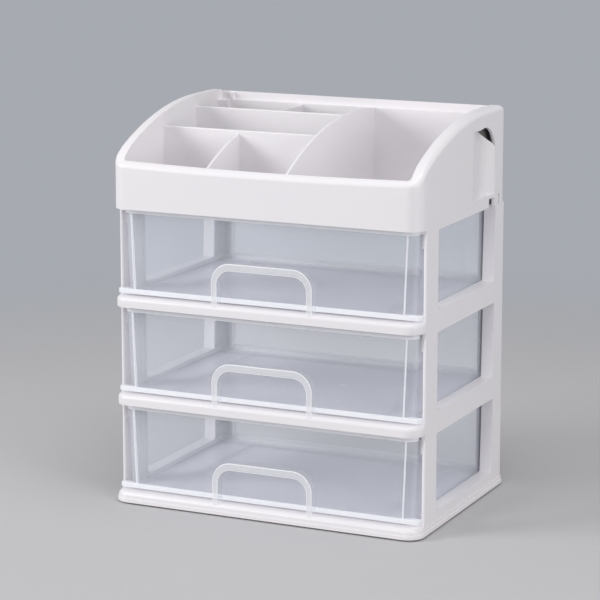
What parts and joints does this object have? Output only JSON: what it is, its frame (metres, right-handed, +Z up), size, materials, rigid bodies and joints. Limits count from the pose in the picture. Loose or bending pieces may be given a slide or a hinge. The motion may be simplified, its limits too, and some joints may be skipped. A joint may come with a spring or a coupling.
{
  "type": "desktop drawer organizer",
  "caption": "Stacking desktop organizer with clear pull-out drawers in white open-sided frames, under an open tray with upright compartments.",
  "frame": {"origin": "middle of the body on the surface that the pads stand on", "axes": "+Z up, -Y towards the drawers' fronts, +X to the right when seen from the front"},
  "size_m": [0.283, 0.198, 0.3365],
  "materials": {
    "tray_white": "satin white",
    "frame_white": "satin white",
    "drawer_clear": "clear, a little cool",
    "pull_frosted": "frosted clear",
    "pad_rubber": "matte"
  },
  "bodies": {
    "cabinet": {"organizer_tray": "tray_white", "upper_layer": "frame_white", "middle_layer": "frame_white", "base_layer": "frame_white", "foot_front_left": "pad_rubber", "foot_front_right": "pad_rubber", "foot_rear_left": "pad_rubber", "foot_rear_right": "pad_rubber"},
    "upper_drawer": {"drawer_upper": "drawer_clear", "pull_upper": "pull_frosted"},
    "middle_drawer": {"drawer_middle": "drawer_clear", "pull_middle": "pull_frosted"},
    "lower_drawer": {"drawer_lower": "drawer_clear", "pull_lower": "pull_frosted"}
  },
  "joints": [
    {"name": "upper_drawer_slide", "type": "slide", "parent": "cabinet", "child": "upper_drawer", "axis": [0, -1, 0], "range_m": [0, 0.13]},
    {"name": "middle_drawer_slide", "type": "slide", "parent": "cabinet", "child": "middle_drawer", "axis": [0, -1, 0], "range_m": [0, 0.13]},
    {"name": "lower_drawer_slide", "type": "slide", "parent": "cabinet", "child": "lower_drawer", "axis": [0, -1, 0], "range_m": [0, 0.13]}
  ]
}
